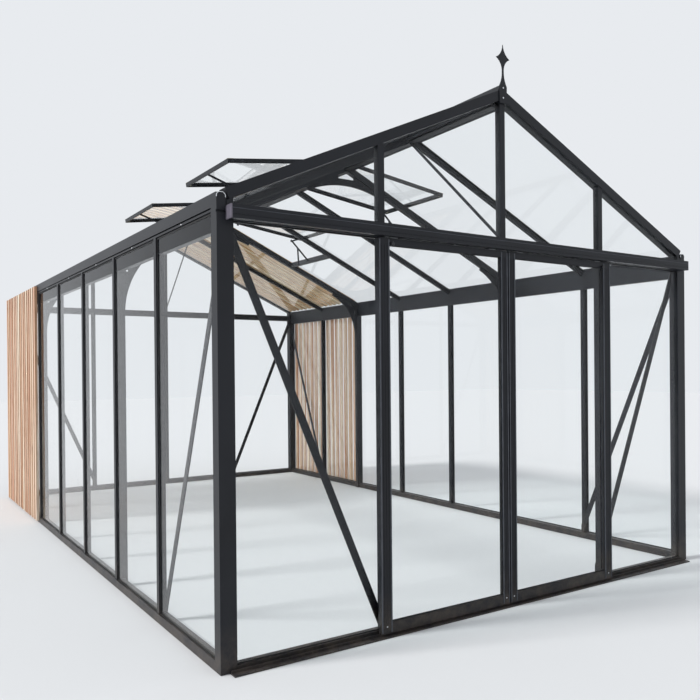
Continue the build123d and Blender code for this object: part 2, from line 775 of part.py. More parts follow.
def gable_brace(base):
    """Flat bar from the top of the corner post to the foot of the first gable bar."""
    face = -HALF_Y + BAR_DEPTH
    y = face + BRACE_THICK / 2
    top = (HALF_X - POST_X, y, TIE_BOTTOM - BRACE_WIDTH)
    foot = (line_x(FRONT_BAYS - 1), y, base + BRACE_WIDTH)
    bar = strut(top, foot, BRACE_WIDTH, BRACE_THICK, (0, 1, 0))
    low = (line_x(FRONT_BAYS - 1) - BAR_BODY / 2, face, base)
    return bar & block(low, (HALF_X - POST_X, face + BRACE_THICK, TIE_BOTTOM))


def ridge_brace():
    """Flat bar from the ridge down to the foot of the middle gable bar."""
    face = -HALF_Y + BAR_DEPTH
    ridge_foot = RIDGE_TOP - RIDGE_DEPTH
    top = (0, line_y(1), ridge_foot)
    foot = (0, face, TIE_TOP + RIDGE_BRACE_RISE)
    bar = strut(top, foot, RIDGE_BRACE_WIDTH, BRACE_THICK, (1, 0, 0))
    low = (-BRACE_THICK / 2, face, TIE_TOP)
    return bar & block(low, (BRACE_THICK / 2, line_y(1) + RIDGE_BRACE_WIDTH, ridge_foot))


# Timber slats


def slat_lines():
    """Y of every slat over the rear bays."""
    pitch = BAY / SLATS_PER_BAY
    start = line_y(SIDE_BAYS - SLAT_BAYS)
    return [start + (i + 0.5) * pitch for i in range(SLAT_BAYS * SLATS_PER_BAY)]


def wall_slat(y):
    points = rectangle(HALF_X, y - SLAT_WIDTH / 2, HALF_X + SLAT_THICK, y + SLAT_WIDTH / 2)
    return prism_up(points, SLAT_BOTTOM, SLAT_TOP)


def roof_slat(y):
    points = rectangle(-SLAT_WIDTH / 2, CAP_TOP, SLAT_WIDTH / 2, CAP_TOP + SLAT_THICK)
    return prism_slope(points, y, RIDGE_WING, down_at(SLAT_EAVE_INSET))


# Doors, drawn for the right-hand leaf


def track():
    """Door track: a box open below, where the hangers run, with two grooves in its face."""
    front = -HALF_Y - TRACK_DEPTH
    slot = TRACK_SLOT / 2
    middle = leaf_sides()[2]
    grooves = []
    for z in (TIE_BOTTOM + TRACK_GROOVE_LOW, TIE_BOTTOM + TRACK_GROOVE_HIGH):
        grooves += [
            (front, z - TRACK_GROOVE / 2),
            (front + TRACK_GROOVE / 2, z - TRACK_GROOVE / 2),
            (front + TRACK_GROOVE / 2, z + TRACK_GROOVE / 2),
            (front, z + TRACK_GROOVE / 2),
        ]
    outer = [
        *reversed(grooves),
        (front, TIE_BOTTOM),
        (middle - slot, TIE_BOTTOM),
        (middle - slot, TIE_BOTTOM + TRACK_WALL),
        (front + TRACK_WALL, TIE_BOTTOM + TRACK_WALL),
        (front + TRACK_WALL, TIE_TOP - TRACK_WALL),
        (-HALF_Y - TRACK_WALL, TIE_TOP - TRACK_WALL),
        (-HALF_Y - TRACK_WALL, TIE_BOTTOM + TRACK_WALL),
        (middle + slot, TIE_BOTTOM + TRACK_WALL),
        (middle + slot, TIE_BOTTOM),
        (-HALF_Y, TIE_BOTTOM),
        (-HALF_Y, TIE_TOP),
        (front, TIE_TOP),
    ]
    return prism_x(outer, -HALF_X + TRACK_SHORT + TRACK_END_CAP, HALF_X - TRACK_SHORT - TRACK_END_CAP)


def track_end():
    points = rectangle(-HALF_Y - TRACK_DEPTH, TIE_BOTTOM, -HALF_Y, TIE_TOP)
    return prism_x(points, HALF_X - TRACK_SHORT - TRACK_END_CAP, HALF_X - TRACK_SHORT)


def floor_guide():
    """Low guide rail on the ground under the leaves."""
    middle = leaf_sides()[2]
    rib = GUIDE_RIB_WIDTH / 2
    points = [
        (-HALF_Y - GUIDE_DEPTH, 0),
        (-HALF_Y, 0),
        (-HALF_Y, GUIDE_HEIGHT),
        (middle + rib, GUIDE_HEIGHT),
        (middle + rib, GUIDE_HEIGHT + GUIDE_RIB_HEIGHT),
        (middle - rib, GUIDE_HEIGHT + GUIDE_RIB_HEIGHT),
        (middle - rib, GUIDE_HEIGHT),
        (-HALF_Y - GUIDE_DEPTH, GUIDE_HEIGHT),
    ]
    return prism_x(points, -HALF_X + TRACK_SHORT, HALF_X - TRACK_SHORT)


def leaf_sides():
    """Outer x of the leaf at the meeting and the outer side, and y of its middle plane."""
    meeting = LEAF_MEETING_GAP / 2
    return meeting, meeting + LEAF_WIDTH, -HALF_Y - LEAF_FRONT + LEAF_THICK / 2


def leaf_frame():
    """Right-hand leaf: stiles and rails around one pane, grooved below for the guide."""
    left, right, y = leaf_sides()
    front = y - LEAF_THICK / 2
    top = TIE_BOTTOM - LEAF_TOP_GAP
    outer = block((left, front, LEAF_BOTTOM), (right, front + LEAF_THICK, top))
    hole_left = left + MEETING_STILE
    hole_right = right - OUTER_STILE
    bottom = LEAF_BOTTOM + LEAF_BOTTOM_RAIL
    head = top - LEAF_TOP_RAIL
    hole = block((hole_left, front, bottom), (hole_right, front + LEAF_THICK, head))
    seat = block(
        (hole_left - GROOVE, y - GLASS / 2, bottom - GROOVE),
        (hole_right + GROOVE, y + GLASS / 2, head + GROOVE),
    )
    slot = block((left, y - LEAF_GROOVE / 2, 0), (right, y + LEAF_GROOVE / 2, LEAF_BOTTOM + LEAF_GROOVE))
    frame = outer - hole - seat - slot
    for start, width in ((left, MEETING_STILE), (hole_right, OUTER_STILE)):
        step = width / (STILE_GROOVES + 1)
        for i in range(STILE_GROOVES):
            x = start + (i + 1) * step
            frame -= block(
                (x - STILE_GROOVE_WIDTH / 2, front, bottom),
                (x + STILE_GROOVE_WIDTH / 2, front + STILE_GROOVE_DEPTH, head),
            )
    return frame


def leaf_pane():
    left, right, y = leaf_sides()
    edge = GROOVE - GLASS_GAP
    top = TIE_BOTTOM - LEAF_TOP_GAP - LEAF_TOP_RAIL + edge
    return block(
        (left + MEETING_STILE - edge, y - GLASS / 2, LEAF_BOTTOM + LEAF_BOTTOM_RAIL - GROOVE),
        (right - OUTER_STILE + edge, y + GLASS / 2, top),
    )


def leaf_hangers():
    """Two hangers that stand on the top rail, each with a wheel inside the track."""
    left, right, y = leaf_sides()
    top = TIE_BOTTOM - LEAF_TOP_GAP
    axle_z = TIE_BOTTOM + TRACK_WALL + WHEEL_RADIUS + WHEEL_CLEARANCE
    hangers = []
    for x in (left + HANGER_INSET, right - HANGER_INSET):
        plate = prism_up(
            rectangle(x - HANGER_WIDTH / 2, y - HANGER_THICK / 2, x + HANGER_WIDTH / 2, y + HANGER_THICK / 2),
            top,
            axle_z + WHEEL_RADIUS / 2,
        )
        axle_length = HANGER_THICK + 2 * WHEEL_THICK
        wheels = Pos(x, y, axle_z) * Rot(90, 0, 0) * Cylinder(WHEEL_RADIUS, axle_length)
        groove = Pos(x, y, axle_z) * Rot(90, 0, 0) * (
            Cylinder(WHEEL_RADIUS, HANGER_THICK) - Cylinder(WHEEL_RADIUS / 3, HANGER_THICK)
        )
        hangers.append(plate + (wheels - groove))
    return hangers


# Finial


def finial():
    """Flat plate on the gable's apex: flared foot, thin neck, hollow-sided diamond."""
    foot = (FINIAL_FOOT_HALF, FINIAL_FOOT_RISE)
    neck = (FINIAL_NECK_HALF, FINIAL_NECK)
    waist = (DIAMOND_HALF, DIAMOND_HEIGHT)
    tip = (0, FINIAL_HEIGHT)
    bottom = (0, -FINIAL_DROP)
    outline = Polyline(bottom, (FINIAL_FOOT_HALF, -FINIAL_DROP), foot)
    outline += ThreePointArc(foot, (FOOT_FLARE_HALF, FOOT_FLARE_HEIGHT), neck)
    outline += ThreePointArc(neck, (DIAMOND_LOW_HALF, DIAMOND_LOW_HEIGHT), waist)
    outline += ThreePointArc(waist, (DIAMOND_HIGH_HALF, DIAMOND_HIGH_HEIGHT), tip)
    half = make_face(outline + Line(tip, bottom))
    plate = extrude(Plane.XZ * half, FINIAL_THICK)
    whole = plate + right_to_left(plate)
    return Pos(0, -HALF_Y, RIDGE_TOP) * whole


def write(name, shapes):
    """Moves the shapes so that the origin is the centre of the plan box, and exports them."""
    shift = Pos(0, TRACK_DEPTH / 2, 0)
    export_step(group([shift * shape for shape in shapes]), f"parts/{name}.step")


def main():
    os.makedirs("parts", exist_ok=True)
    plain_lines = [n for n in range(1, SIDE_BAYS) if n not in TRUSS_LINES]

    posts = both_sides([corner_post()])
    write("corner_posts", [*posts, *(front_to_rear(post) for post in posts)])
    write("front_base_rail", [gable_base(FRONT_SILL_HEIGHT)])
    write("rear_base_rail", [front_to_rear(gable_base(BASE_HEIGHT))])
    write("right_base_rail", [side_base()])
    write("left_base_rail", [right_to_left(side_base())])

    right_bars = [side_bar(n) for n in plain_lines]
    truss_posts = [truss_post(n) for n in TRUSS_LINES]
    write("right_wall_bars", right_bars)
    write("left_wall_bars", [right_to_left(bar) for bar in right_bars])
    write("truss_posts", both_sides(truss_posts))
    write("right_eave_beam", [eave_beam()])
    write("left_eave_beam", [right_to_left(eave_beam())])
    ends = both_sides([gutter_end()])
    write("right_gutter", [gutter()])
    write("left_gutter", [right_to_left(gutter())])
    write("gutter_end_caps", [*ends, *(front_to_rear(end) for end in ends)])

    front_tie = tie_beam()
    write("front_tie_beam", [front_tie])
    write("rear_tie_beam", [front_to_rear(front_tie)])
    front_bars = [gable_bar(k, FRONT_SILL_HEIGHT, TIE_BOTTOM) for k in (1, 3)]
    rear_bars = [front_to_rear(gable_bar(k, BASE_HEIGHT, TIE_BOTTOM)) for k in (1, 2, 3)]
    write("front_wall_bars", front_bars)
    write("rear_wall_bars", rear_bars)
    front_verge = verge()
    write("front_verge", [front_verge])
    write("rear_verge", [front_to_rear(front_verge)])
    top_bars = gable_top_bars()
    write("front_gable_bars", top_bars)
    write("rear_gable_bars", [front_to_rear(bar) for bar in top_bars])

    write("ridge_beam", [ridge()])
    rafters = [rafter(n, ROOF_BAR_DEPTH, BAR_BODY) for n in plain_lines]
    truss_rafters = [rafter(n, TRUSS_DEPTH, TRUSS_WIDTH) for n in TRUSS_LINES]
    write("right_roof_bars", rafters)
    write("left_roof_bars", [right_to_left(bar) for bar in rafters])
    write("right_truss_rafters", truss_rafters)
    write("left_truss_rafters", [right_to_left(bar) for bar in truss_rafters])
    write("eave_gussets", both_sides([eave_gusset(n) for n in TRUSS_LINES]))
    write("ridge_gussets", [ridge_gusset(n) for n in TRUSS_LINES])

    side_panes = [side_pane(n) for n in range(SIDE_BAYS)]
    write("right_wall_glass", side_panes)
    write("left_wall_glass", [right_to_left(pane) for pane in side_panes])
    low = BASE_HEIGHT - GROOVE
    high = TIE_BOTTOM + GROOVE - GLASS_GAP
    write("front_wall_glass", [gable_pane(k, FRONT_SILL_HEIGHT - GROOVE, high) for k in (0, 3)])
    write("rear_wall_glass", [front_to_rear(gable_pane(k, low, high)) for k in range(FRONT_BAYS)])
    top_panes = gable_top_panes()
    write("front_gable_glass", top_panes)
    write("rear_gable_glass", [front_to_rear(pane) for pane in top_panes])
    panes = roof_panes()
    write("right_roof_glass", panes)
    write("left_roof_glass", [right_to_left(pane) for pane in panes])

    frames = [vent_frame(n) for n in VENT_BAYS]
    sills = [vent_sill(n) for n in VENT_BAYS]
    write("right_vent_frames", frames)
    write("left_vent_frames", [right_to_left(frame) for frame in frames])
    write("vent_glass", both_sides([vent_pane(n) for n in VENT_BAYS]))
    write("vent_sills", both_sides(sills))
    write("vent_arms", both_sides([vent_arms(n) for n in VENT_BAYS]))

    side_braces = both_sides([side_brace()])
    front_braces = both_sides([gable_brace(FRONT_SILL_HEIGHT)])
    rear_braces = [front_to_rear(brace) for brace in both_sides([gable_brace(BASE_HEIGHT)])]
    write("side_wall_braces", [*side_braces, *(front_to_rear(brace) for brace in side_braces)])
    write("gable_wall_braces", [*front_braces, *rear_braces])
    write("ridge_braces", [ridge_brace(), front_to_rear(ridge_brace())])

    right_slats = [wall_slat(y) for y in slat_lines()]
    right_roof_slats = [roof_slat(y) for y in slat_lines()]
    write("right_wall_slats", right_slats)
    write("left_wall_slats", [right_to_left(slat) for slat in right_slats])
    write("right_roof_slats", right_roof_slats)
    write("left_roof_slats", [right_to_left(slat) for slat in right_roof_slats])

    write("door_track", [track()])
    write("track_end_caps", both_sides([track_end()]))
    write("door_floor_guide", [floor_guide()])
    write("right_door_frame", [leaf_frame()])
    write("left_door_frame", [right_to_left(leaf_frame())])
    write("right_door_glass", [leaf_pane()])
    write("left_door_glass", [right_to_left(leaf_pane())])
    write("right_door_hangers", leaf_hangers())
    write("left_door_hangers", [right_to_left(hanger) for hanger in leaf_hangers()])
    write("apex_finial", [finial()])


main()
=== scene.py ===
"""Looks of the glass greenhouse: finishes, small fittings, studio and the photo's camera.

Metres, +Z up, door gable at -Y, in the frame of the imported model.
"""

import math

import bmesh
import bpy
from mathutils import Matrix, Vector


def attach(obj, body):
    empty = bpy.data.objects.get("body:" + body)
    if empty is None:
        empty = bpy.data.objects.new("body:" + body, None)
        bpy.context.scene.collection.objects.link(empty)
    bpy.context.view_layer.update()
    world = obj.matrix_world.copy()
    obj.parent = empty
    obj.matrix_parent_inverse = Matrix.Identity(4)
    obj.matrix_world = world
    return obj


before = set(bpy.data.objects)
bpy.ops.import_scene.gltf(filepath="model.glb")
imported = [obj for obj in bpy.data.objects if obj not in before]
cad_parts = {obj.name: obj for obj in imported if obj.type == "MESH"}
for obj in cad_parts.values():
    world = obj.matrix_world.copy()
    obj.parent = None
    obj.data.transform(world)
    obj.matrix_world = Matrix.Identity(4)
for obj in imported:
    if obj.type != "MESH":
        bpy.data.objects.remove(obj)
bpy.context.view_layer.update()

# Photo's camera, solved from the bay lines: place in metres, turns in degrees, lens in millimetres

CAMERA_AT = (-2.641, -5.4229, 1.1873)
CAMERA_YAW = -35.1322
CAMERA_PITCH = -0.2434
CAMERA_ROLL = -0.4793
LENS = 38.92
SENSOR = 36
SHIFT_X = -0.0685
SHIFT_Y = 0.0339
CLIP_END = 200


def srgb(red, green, blue):
    """Linear colour with alpha from 0 to 255 values."""

    def linear(value):
        value /= 255
        return value / 12.92 if value <= 0.04045 else ((value + 0.055) / 1.055) ** 2.4

    return (linear(red), linear(green), linear(blue), 1.0)


# Colours

WHITE = srgb(255, 255, 255)
BLACK = srgb(0, 0, 0)
COAT_DARK = srgb(20, 22, 27)
COAT_LIGHT = srgb(29, 31, 37)
DUST = srgb(122, 108, 94)
DUST_SHARE = srgb(168, 168, 168)
PANE_TINT = srgb(253, 254, 254)
PANE_SHADE = srgb(252, 254, 254)
GRAIN_STREAK = srgb(178, 130, 96)
GRAIN_BAND = srgb(214, 176, 146)
KNOT = srgb(150, 100, 66)
PINKISH = (
    srgb(200, 150, 116), srgb(255, 242, 218), srgb(222, 172, 142),
    srgb(255, 247, 228), srgb(206, 154, 118), srgb(250, 222, 188),
)
YELLOWISH = (
    srgb(204, 162, 114), srgb(255, 240, 204), srgb(226, 188, 142),
    srgb(255, 244, 214), srgb(206, 162, 114), srgb(250, 224, 180),
)
STEEL_DARK = srgb(150, 152, 155)
STEEL_LIGHT = srgb(190, 192, 194)
FLOOR = srgb(226, 226, 226)
SKY_LIGHT = srgb(236, 240, 246)
BACKDROP = srgb(232, 235, 239)

DUST_REACH = 0.2


# Materials


def math_node(tree, operation, first, second, clamp=False):
    """Output of a Math node on two sockets, the second of which may be a number."""
    node = tree.nodes.new("ShaderNodeMath")
    node.operation = operation
    node.use_clamp = clamp
    tree.links.new(first, node.inputs[0])
    if isinstance(second, float):
        node.inputs[1].default_value = second
    else:
        tree.links.new(second, node.inputs[1])
    return node.outputs[0]


class Nodes:
    """Short calls for the nodes of one material."""

    # Sockets of a Mix node for colours: factor, first and second colour; result
    MIX_INPUTS = (0, 6, 7)
    MIX_RESULT = 2

    def __init__(self, name):
        self.material = bpy.data.materials.new(name)
        self.material.use_nodes = True
        self.tree = self.material.node_tree
        self.shader = self.tree.nodes["Principled BSDF"]
        self.output = self.tree.nodes["Material Output"]

    def add(self, kind, **inputs):
        """New node with values on its inputs."""
        node = self.tree.nodes.new(kind)
        for key, value in inputs.items():
            node.inputs[key.replace("_", " ")].default_value = value
        return node

    def link(self, source, target):
        self.tree.links.new(source, target)

    def set(self, **values):
        """Values on the main shader's inputs."""
        for key, value in values.items():
            self.shader.inputs[key.replace("_", " ")].default_value = value

    def feed(self, source, name):
        """Links a source to the main shader's input of that name."""
        self.link(source, self.shader.inputs[name])

    def place(self, texture, stretch):
        """Puts a texture in object space; stretch scales its axes."""
        spot = self.add("ShaderNodeTexCoord")
        mapping = self.add("ShaderNodeMapping", Scale=stretch)
        self.link(spot.outputs["Object"], mapping.inputs["Vector"])
        self.link(mapping.outputs["Vector"], texture.inputs["Vector"])

    def noise(self, scale, detail=3.0, roughness=0.5, stretch=(1, 1, 1)):
        noise = self.add("ShaderNodeTexNoise", Scale=scale, Detail=detail, Roughness=roughness)
        self.place(noise, stretch)
        return noise.outputs["Fac"]

    def ramp(self, source, *stops):
        """Colour ramp from (position, colour) stops."""
        ramp = self.add("ShaderNodeValToRGB")
        points = ramp.color_ramp.elements
        while len(points) < len(stops):
            points.new(0.5)
        for point, (position, colour) in zip(points, stops):
            point.position = position
            point.color = colour
        self.link(source, ramp.inputs["Fac"])
        return ramp.outputs["Color"]

    def span(self, source, low, high):
        """Maps 0..1 to low..high."""
        node = self.add("ShaderNodeMapRange", To_Min=low, To_Max=high)
        self.link(source, node.inputs["Value"])
        return node.outputs["Result"]

    def near_ground(self, reach):
        """1 at the ground, falling to 0 at the height reach."""
        spot = self.add("ShaderNodeTexCoord")
        axes = self.add("ShaderNodeSeparateXYZ")
        self.link(spot.outputs["Object"], axes.inputs["Vector"])
        node = self.add("ShaderNodeMapRange", From_Max=reach, To_Min=1.0, To_Max=0.0)
        self.link(axes.outputs["Z"], node.inputs["Value"])
        return node.outputs["Result"]

    def mix(self, factor, first, second, blend="MIX"):
        """Blends two colours; each value is a constant or a socket."""
        node = self.tree.nodes.new("ShaderNodeMix")
        node.data_type = "RGBA"
        node.blend_type = blend
        for source, socket in zip((factor, first, second), self.MIX_INPUTS):
            if isinstance(source, (float, tuple)):
                node.inputs[socket].default_value = source
            else:
                self.link(source, node.inputs[socket])
        return node.outputs[self.MIX_RESULT]

    def bump(self, height, strength, distance):
        node = self.add("ShaderNodeBump", Strength=strength, Distance=distance)
        self.link(height, node.inputs["Height"])
        self.feed(node.outputs["Normal"], "Normal")


def powder_coat():
    """Satin black-grey powder coat: fine orange peel, broad clouds, splashed dust near the ground."""
    nodes = Nodes("powder_coat_anthracite")
    cloud = nodes.noise(scale=2.2, detail=5, roughness=0.6)
    coat = nodes.ramp(cloud, (0.3, COAT_DARK), (0.7, COAT_LIGHT))
    splash = nodes.noise(scale=14, detail=6, roughness=0.7)
    splash = nodes.ramp(splash, (0.32, BLACK), (0.72, DUST_SHARE))
    dust = nodes.mix(1.0, nodes.near_ground(DUST_REACH), splash, "MULTIPLY")
    nodes.feed(nodes.mix(dust, coat, DUST), "Base Color")
    nodes.set(Specular_IOR_Level=0.28)
    nodes.feed(nodes.span(cloud, low=0.34, high=0.46), "Roughness")
    nodes.bump(nodes.noise(scale=420, detail=2), strength=0.05, distance=0.0002)
    return nodes.material


def clear_glass():
    """Clear pane with a faint wave; light falls straight through it onto the floor."""
    nodes = Nodes("clear_glass")
    nodes.set(Base_Color=PANE_TINT, Transmission_Weight=1.0, IOR=1.18, Roughness=0.0)
    nodes.bump(nodes.noise(scale=1.1, detail=1), strength=0.08, distance=0.01)
    path = nodes.add("ShaderNodeLightPath")
    straight = nodes.add("ShaderNodeBsdfTransparent", Color=PANE_SHADE)
    passed = math_node(nodes.tree, "MAXIMUM", path.outputs["Is Shadow Ray"], path.outputs["Is Diffuse Ray"])
    mix = nodes.add("ShaderNodeMixShader")
    nodes.link(passed, mix.inputs["Fac"])
    nodes.link(nodes.shader.outputs["BSDF"], mix.inputs[1])
    nodes.link(straight.outputs["BSDF"], mix.inputs[2])
    nodes.link(mix.outputs["Shader"], nodes.output.inputs["Surface"])
    return nodes.material


def softwood(name, along, tones):
    """Planed softwood: grain and knots drawn out along some axes, a tone of its own for each slat."""
    nodes = Nodes(name)
    drawn = tuple(0.05 if axis in along else 1.0 for axis in "xyz")
    grain = nodes.noise(scale=160, detail=6, roughness=0.65, stretch=drawn)
    bands = nodes.noise(scale=26, detail=3, roughness=0.5, stretch=drawn)
    slat = nodes.add("ShaderNodeNewGeometry").outputs["Random Per Island"]
    last = len(tones) - 1
    tone = nodes.ramp(slat, *((i / last, tones[i]) for i in range(len(tones))))
    streak = nodes.ramp(grain, (0.35, GRAIN_STREAK), (0.55, WHITE))
    band = nodes.ramp(bands, (0.3, GRAIN_BAND), (0.6, WHITE))
    colour = nodes.mix(0.5, tone, streak, "MULTIPLY")
    colour = nodes.mix(0.6, colour, band, "MULTIPLY")
    cells = nodes.add("ShaderNodeTexVoronoi", Scale=1.0, Randomness=1.0)
    nodes.place(cells, tuple(1.4 if axis in along else 21.0 for axis in "xyz"))
    knot = nodes.ramp(cells.outputs["Distance"], (0.03, KNOT), (0.09, WHITE))
    nodes.feed(nodes.mix(0.7, colour, knot, "MULTIPLY"), "Base Color")
    nodes.feed(nodes.span(grain, low=0.55, high=0.75), "Roughness")
    nodes.bump(grain, strength=0.35, distance=0.0015)
    return nodes.material


def wheel_steel():
    """Zinc-plated steel of the hangers."""
    nodes = Nodes("wheel_steel")
    nodes.set(Metallic=1.0)
    scratch = nodes.noise(scale=220, detail=4, stretch=(1, 1, 0.1))
    nodes.feed(nodes.ramp(scratch, (0.3, STEEL_DARK), (0.7, STEEL_LIGHT)), "Base Color")
    nodes.feed(nodes.span(scratch, low=0.3, high=0.5), "Roughness")
    return nodes.material


def plain(name, dark, light, rough, metallic=0.0, scale=60.0):
    """Small-part material: two close tones, uneven gloss and a fine bump."""
    nodes = Nodes(name)
    nodes.set(Metallic=metallic)
    spots = nodes.noise(scale, detail=4)
    nodes.feed(nodes.ramp(spots, (0.3, dark), (0.7, light)), "Base Color")
    nodes.feed(nodes.span(spots, low=rough - 0.08, high=rough + 0.08), "Roughness")
    nodes.bump(spots, strength=0.15, distance=0.0004)
    return nodes.material


COAT = powder_coat()
GLASS = clear_glass()
WALL_WOOD = softwood("softwood_wall_slats", "z", PINKISH)
ROOF_WOOD = softwood("softwood_roof_slats", "xz", YELLOWISH)
STEEL = wheel_steel()
RUBBER = plain("black_rubber", srgb(14, 14, 15), srgb(23, 23, 25), rough=0.62)
SCREW = plain(
    "zinc_screw", srgb(205, 208, 212), srgb(236, 238, 240), rough=0.34, metallic=0.85, scale=300.0,
)
BOLT = plain("black_bolt", srgb(24, 25, 28), srgb(38, 39, 43), rough=0.35, scale=300.0)
NYLON = plain("pale_corner_piece", srgb(196, 186, 156), srgb(222, 214, 190), rough=0.5)
# Paler coat of the door beads and the track's groove line: a painted highlight along them
PAINTED_HIGHLIGHT_COAT = plain("powder_coat_painted_highlight", srgb(56, 59, 65), srgb(74, 77, 84), rough=0.4, scale=24.0)
# Grey plastic end caps of the door track, set paler than their own grey to paint the sunlight on their end
# faces
CAP = plain("grey_end_cap_painted_sunlight", srgb(92, 88, 98), srgb(112, 107, 118), rough=0.45)
PILE = plain("brush_pile", srgb(20, 20, 22), srgb(44, 45, 48), rough=0.85, scale=900.0)

# Words in the names of CAD nodes and the material that each asks for, coat for all the rest

FINISHES = (
    ("glass", GLASS), ("roof_slats", ROOF_WOOD), ("wall_slats", WALL_WOOD),
    ("hangers", STEEL), ("track_end_caps", CAP), ("", COAT),
)

for name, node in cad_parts.items():
    material = next(finish for word, finish in FINISHES if word in name)
    for slot in node.material_slots:
        slot.material = material


# Sizes of the frame that the fittings hang from, in metres

BAY = 0.74
HALF_X = 1.5175
FRONT = -2.607
REAR = 2.663
PITCH = math.radians(25)
ROOF_EDGE = 1.895
RIDGE_TOP = ROOF_EDGE + HALF_X * math.tan(PITCH)
SIDE_BAYS = 7
GABLE_BAYS = 4
SIDE_LINE_INSET = 0.045
SIDE_LINES = [FRONT + SIDE_LINE_INSET + BAY * n for n in range(SIDE_BAYS + 1)]
GABLE_LINES = [BAY * (k - GABLE_BAYS / 2) for k in range(GABLE_BAYS + 1)]
GABLE_LINE_INSET = HALF_X + GABLE_LINES[0]
DOORWAY_BAYS = (1, 2)
SLATTED_BAYS = 2
TRUSS_LINES = (2, 5)
VENT_BAYS = (2, 4)

PANE = 0.004
WALL_GLASS_INSET = 0.012
ROOF_GLASS_SINK = 0.038
BAR_CAP = 0.034
BAR_DEPTH = 0.045
POST_X = 0.07
POST_Y = 0.06
BASE_HEIGHT = 0.042
SILL_HEIGHT = 0.026
FLANGE_BOTTOM = 1.824
EAVE_BOTTOM = 1.745
TIE_BOTTOM = 1.785
BRACE_WIDTH = 0.035
BRACE_THICK = 0.006
GUSSET_THICK = 0.016

TRACK_FACE = FRONT - 0.056
TRACK_END = HALF_X - 0.045
TRACK_LINE = TIE_BOTTOM + 0.04
TRACK_GROOVE = 0.002
GUIDE_TOP = 0.006
GUIDE_MIDDLE = FRONT - 0.041

VENT_HINGE = 0.08
VENT_LIFT = 0.003
VENT_OPENING = math.radians(17)
VENT_LENGTH = 0.765
VENT_GAP = 0.004
VENT_FRAME = 0.026
VENT_THICK = 0.018

LEAF_FACE = FRONT - 0.03
LEAF_THICK = 0.025
LEAF_WIDTH = 0.774
LEAF_BOTTOM = 0.012
LEAF_TOP = TIE_BOTTOM - 0.005
LEAF_GLASS_BOTTOM = LEAF_BOTTOM + 0.051
LEAF_GLASS_TOP = LEAF_TOP - 0.032
MEETING_GAP = 0.008
MEETING_STILE = 0.044
OUTER_STILE = 0.057

# Sizes of the fittings; a screw or bolt is its radius and height

SEAL_WIDTH = 0.004
SEAL_HEIGHT = 0.0025
FOOT_SEAL_WIDTH = 0.005
FLANGE_SEAL_WIDTH = 0.01
ROOF_SEAL_START = 0.078
ROOF_SEAL_START_BELOW_VENT = 0.846
ROOF_SEAL_END_INSET = 0.028
VENT_SEAL_HEIGHT = 0.003
LEAF_SEAL_HEIGHT = 0.004

GUTTER_SCREW = (0.0038, 0.0026)
GUTTER_SCREW_X = HALF_X - 0.004
GUTTER_SCREW_Z = 1.8285
FINIAL_SCREW = (0.0045, 0.003)
FINIAL_SCREWS_Z = (RIDGE_TOP + 0.004, RIDGE_TOP - 0.046)
FINIAL_FACE = FRONT - 0.005
FRAME_BOLT = (0.0055, 0.004)
# x and z
GUSSET_BOLTS = (
    (1.4395, 1.69), (1.4375, 1.735), (1.3395, 1.874), (1.2825, 1.903), (0.2, 2.4095), (0.13, 2.435),
)
GUIDE_SCREW = (0.005, 0.0022)
GUIDE_SCREWS_X = (0.31, 1.01, 1.39)

HINGE_KNUCKLES = 6
HINGE_GAP = 0.004
HINGE_RADIUS = 0.0045
HINGE_BACK = 0.001
HINGE_HEIGHT = VENT_THICK - 0.004
DRIP_LIP = 0.01
DRIP_LIP_WIDTH = 0.006
DRIP_LIP_START = 0.04
CORNER_LENGTH = 0.04
CORNER_WIDTH = 0.012
CORNER_THICK = 0.0015

BEAD_WIDTH = 0.007
BEAD_HEIGHT = 0.0025
LEAF_SCREW = (0.0036, 0.0022)
LEAF_SCREW_Z = 0.045
MEETING_SCREW_INSET = 0.022
OUTER_SCREW_INSET = 0.028
KNOB_X = 0.71
KNOB_Z = LEAF_GLASS_TOP + 0.006
# Radius and height of the knob's outline
KNOB = ((0.006, 0), (0.006, 0.004), (0.0095, 0.006), (0.0095, 0.011), (0.007, 0.014), (0.003, 0.0145))
BRUSH_TUFTS = 240
BRUSH_MARGIN = 0.01
BRUSH_REACH = 0.0026
# Front and back of a tuft, behind the leaf's face
BRUSH_ROOT = (0.006, 0.013)
BRUSH_TIP = (0.007, 0.012)
TUFT_SHARE = 0.8
TRACK_LINE_FILL = 0.9

# Bright rim over the top arc of each gutter end cap, a painted highlight
RIM_RADIUS = 0.0016
RIM_PLANES = (FRONT - 0.0004, REAR - RIM_RADIUS)
RIM_WIDTH = 0.038
# Inset from the side face and z, up to the top
RIM_HALF = ((0.0, 1.872), (0.001, 1.883), (0.0095, 1.892))
RIM = RIM_HALF + tuple((RIM_WIDTH - inset, z) for inset, z in reversed(RIM_HALF))

# Directions

ALONG_X = (1, 0, 0)
ALONG_Y = (0, 1, 0)
UPWARDS = (0, 0, 1)
TO_FRONT = (0, -1, 0)
TO_REAR = (0, 1, 0)


def on_slope(side, down, height, y):
    """Point over one roof slope: distance down it, height over it, side -1 or 1."""
    x = down * math.cos(PITCH) + height * math.sin(PITCH)
    z = RIDGE_TOP - down * math.sin(PITCH) + height * math.cos(PITCH)
    return Vector((side * x, y, z))


def vent_point(side, down, y, height):
    """Point over an open vent: distance from its hinge, y and height over its underside."""
    origin = on_slope(side, VENT_HINGE, VENT_LIFT, y)
    angle = PITCH - VENT_OPENING
    x = down * math.cos(angle) + height * math.sin(angle)
    z = height * math.cos(angle) - down * math.sin(angle)
    return origin + Vector((side * x, 0, z))


def vent_directions(side):
    """Directions down along an open vent and up from it."""
    origin = vent_point(side, 0, 0, 0)
    return vent_point(side, 1, 0, 0) - origin, vent_point(side, 0, 0, 1) - origin


def vents():
    """Side, front y and rear y of each roof vent."""
    for side in (-1, 1):
        for n in VENT_BAYS:
            yield side, SIDE_LINES[n] + VENT_GAP, SIDE_LINES[n + 1] - VENT_GAP


